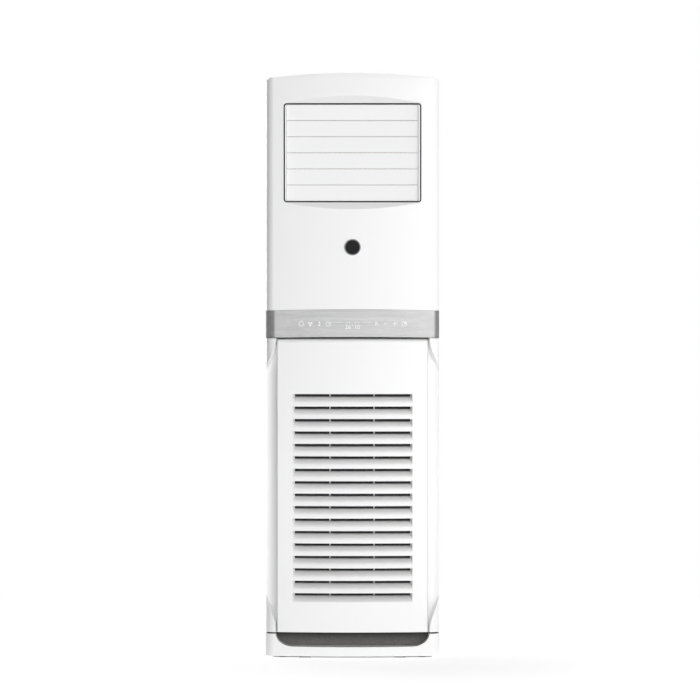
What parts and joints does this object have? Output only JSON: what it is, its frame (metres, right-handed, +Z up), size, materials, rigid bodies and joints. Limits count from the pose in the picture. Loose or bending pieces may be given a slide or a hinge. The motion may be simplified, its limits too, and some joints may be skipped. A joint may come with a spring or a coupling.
{
  "type": "floor standing air conditioner",
  "caption": "Tall floor standing air conditioner with a bowed front, a louvred outlet window, a brushed touch band and a slotted intake panel that tilts open.",
  "frame": {"origin": "on the floor, under the middle of the plinth's width and depth", "axes": "+Z up, the bowed front faces -Y, +X to the right as seen from the front"},
  "size_m": [0.508, 0.3128, 1.7],
  "materials": {
    "white_gloss": "glossy white moulding",
    "louvre_white": "satin white moulding",
    "panel_white": "glossy white moulding",
    "painted_white": "smooth white powder coat",
    "tray_black": "black powder coat",
    "filter_dark": "dark grey moulding",
    "band_brushed": "brushed along its length",
    "trim_dark": "dark grey moulding",
    "badge_chrome": "bright ring",
    "badge_black": "polished black blank",
    "inner_plastic": "light grey moulding",
    "scroll_plastic": "grey moulding",
    "steel_zinc": "zinc plated sheet",
    "motor_case": "dark enamel",
    "small_motor": "plain can",
    "fin_aluminium": "thin sheet",
    "copper": "drawn copper",
    "foam": "expanded foam",
    "board_green": "coated circuit board",
    "terminal_black": "black moulding",
    "mesh_grey": "fine woven net",
    "rubber_black": "moulded rubber"
  },
  "bodies": {
    "cabinet": {"upper_front_panel": "white_gloss", "base_plinth": "white_gloss", "outlet_frame": "white_gloss", "left_side_panel": "panel_white", "right_side_panel": "panel_white", "top_cover": "panel_white", "rear_panel": "painted_white", "base_tray": "tray_black", "control_band": "band_brushed", "window_trim": "trim_dark", "badge_ring": "badge_chrome", "badge_disc": "badge_black", "display_carrier": "inner_plastic", "panel_catches": "inner_plastic", "outlet_duct": "inner_plastic", "drain_pan": "inner_plastic", "bell_mouth": "inner_plastic", "control_box_cover": "inner_plastic", "scroll_front": "scroll_plastic", "scroll_rear": "scroll_plastic", "chassis_frame": "steel_zinc", "motor_bracket": "steel_zinc", "control_box": "steel_zinc", "anchor_nuts": "steel_zinc", "case_screws": "steel_zinc", "evaporator_end_plates": "steel_zinc", "fan_motor": "motor_case", "louvre_motor": "small_motor", "vane_motor": "small_motor", "evaporator_fins": "fin_aluminium", "evaporator_tubes": "copper", "refrigerant_stubs": "copper", "foam_liner": "foam", "main_board": "board_green", "display_board": "board_green", "terminal_block": "terminal_black", "foot_pads": "rubber_black", "pipe_grommet": "rubber_black"},
    "fan": {"impeller": "scroll_plastic", "motor_shaft": "steel_zinc"},
    "intake_door": {"intake_panel": "white_gloss"},
    "filter": {"filter_frame": "filter_dark", "filter_mesh": "mesh_grey"},
    "louvre_link": {"louvre_link": "inner_plastic"},
    "vane_link": {"vane_link": "inner_plastic"},
    "louvre_1": {"louvre_1": "louvre_white"},
    "louvre_2": {"louvre_2": "louvre_white"},
    "louvre_3": {"louvre_3": "louvre_white"},
    "louvre_4": {"louvre_4": "louvre_white"},
    "louvre_5": {"louvre_5": "louvre_white"},
    "louvre_6": {"louvre_6": "louvre_white"},
    "vane_1": {"vane_1": "inner_plastic"},
    "vane_2": {"vane_2": "inner_plastic"},
    "vane_3": {"vane_3": "inner_plastic"},
    "vane_4": {"vane_4": "inner_plastic"},
    "vane_5": {"vane_5": "inner_plastic"},
    "vane_6": {"vane_6": "inner_plastic"},
    "vane_7": {"vane_7": "inner_plastic"}
  },
  "joints": [
    {"name": "louvre_1_tilt", "type": "hinge", "parent": "cabinet", "child": "louvre_1", "pos_m": [0, -0.131, 1.5856], "axis": [-1, 0, 0], "range_deg": [0, 80]},
    {"name": "louvre_2_tilt", "type": "hinge", "parent": "cabinet", "child": "louvre_2", "pos_m": [0, -0.131, 1.5388], "axis": [-1, 0, 0], "range_deg": [0, 80]},
    {"name": "louvre_3_tilt", "type": "hinge", "parent": "cabinet", "child": "louvre_3", "pos_m": [0, -0.131, 1.492], "axis": [-1, 0, 0], "range_deg": [0, 80]},
    {"name": "louvre_4_tilt", "type": "hinge", "parent": "cabinet", "child": "louvre_4", "pos_m": [0, -0.131, 1.4452], "axis": [-1, 0, 0], "range_deg": [0, 80]},
    {"name": "louvre_5_tilt", "type": "hinge", "parent": "cabinet", "child": "louvre_5", "pos_m": [0, -0.131, 1.3984], "axis": [-1, 0, 0], "range_deg": [0, 80]},
    {"name": "louvre_6_tilt", "type": "hinge", "parent": "cabinet", "child": "louvre_6", "pos_m": [0, -0.131, 1.3516], "axis": [-1, 0, 0], "range_deg": [0, 80]},
    {"name": "louvre_link_turn", "type": "hinge", "parent": "louvre_3", "child": "louvre_link", "pos_m": [-0.1832, -0.1245, 1.5176], "axis": [-1, 0, 0], "range_deg": [-80, 0]},
    {"name": "vane_1_swing", "type": "hinge", "parent": "cabinet", "child": "vane_1", "pos_m": [-0.162, -0.07, 1.4686], "axis": [0, 0, 1], "range_deg": [-35, 35]},
    {"name": "vane_2_swing", "type": "hinge", "parent": "cabinet", "child": "vane_2", "pos_m": [-0.108, -0.07, 1.4686], "axis": [0, 0, 1], "range_deg": [-35, 35]},
    {"name": "vane_3_swing", "type": "hinge", "parent": "cabinet", "child": "vane_3", "pos_m": [-0.054, -0.07, 1.4686], "axis": [0, 0, 1], "range_deg": [-35, 35]},
    {"name": "vane_4_swing", "type": "hinge", "parent": "cabinet", "child": "vane_4", "pos_m": [0, -0.07, 1.4686], "axis": [0, 0, 1], "range_deg": [-35, 35]},
    {"name": "vane_5_swing", "type": "hinge", "parent": "cabinet", "child": "vane_5", "pos_m": [0.054, -0.07, 1.4686], "axis": [0, 0, 1], "range_deg": [-35, 35]},
    {"name": "vane_6_swing", "type": "hinge", "parent": "cabinet", "child": "vane_6", "pos_m": [0.108, -0.07, 1.4686], "axis": [0, 0, 1], "range_deg": [-35, 35]},
    {"name": "vane_7_swing", "type": "hinge", "parent": "cabinet", "child": "vane_7", "pos_m": [0.162, -0.07, 1.4686], "axis": [0, 0, 1], "range_deg": [-35, 35]},
    {"name": "vane_link_turn", "type": "hinge", "parent": "vane_4", "child": "vane_link", "pos_m": [0, -0.052, 1.3326], "axis": [0, 0, 1], "range_deg": [-35, 35]},
    {"name": "fan_spin", "type": "hinge", "parent": "cabinet", "child": "fan", "pos_m": [-0.02, -0.01, 0.43], "axis": [0, 1, 0], "continuous": true},
    {"name": "intake_door_tilt", "type": "hinge", "parent": "cabinet", "child": "intake_door", "pos_m": [0, -0.118, 0.088], "axis": [1, 0, 0], "range_deg": [0, 28]},
    {"name": "filter_slide", "type": "slide", "parent": "intake_door", "child": "filter", "axis": [0, 0, 1], "range_m": [0, 0.1]}
  ],
  "couplings": [
    {"joint": "louvre_1_tilt", "follows": "louvre_3_tilt", "ratio": 1},
    {"joint": "louvre_2_tilt", "follows": "louvre_3_tilt", "ratio": 1},
    {"joint": "louvre_4_tilt", "follows": "louvre_3_tilt", "ratio": 1},
    {"joint": "louvre_5_tilt", "follows": "louvre_3_tilt", "ratio": 1},
    {"joint": "louvre_6_tilt", "follows": "louvre_3_tilt", "ratio": 1},
    {"joint": "louvre_link_turn", "follows": "louvre_3_tilt", "ratio": -1},
    {"joint": "vane_1_swing", "follows": "vane_4_swing", "ratio": 1},
    {"joint": "vane_2_swing", "follows": "vane_4_swing", "ratio": 1},
    {"joint": "vane_3_swing", "follows": "vane_4_swing", "ratio": 1},
    {"joint": "vane_5_swing", "follows": "vane_4_swing", "ratio": 1},
    {"joint": "vane_6_swing", "follows": "vane_4_swing", "ratio": 1},
    {"joint": "vane_7_swing", "follows": "vane_4_swing", "ratio": 1},
    {"joint": "vane_link_turn", "follows": "vane_4_swing", "ratio": -1}
  ]
}
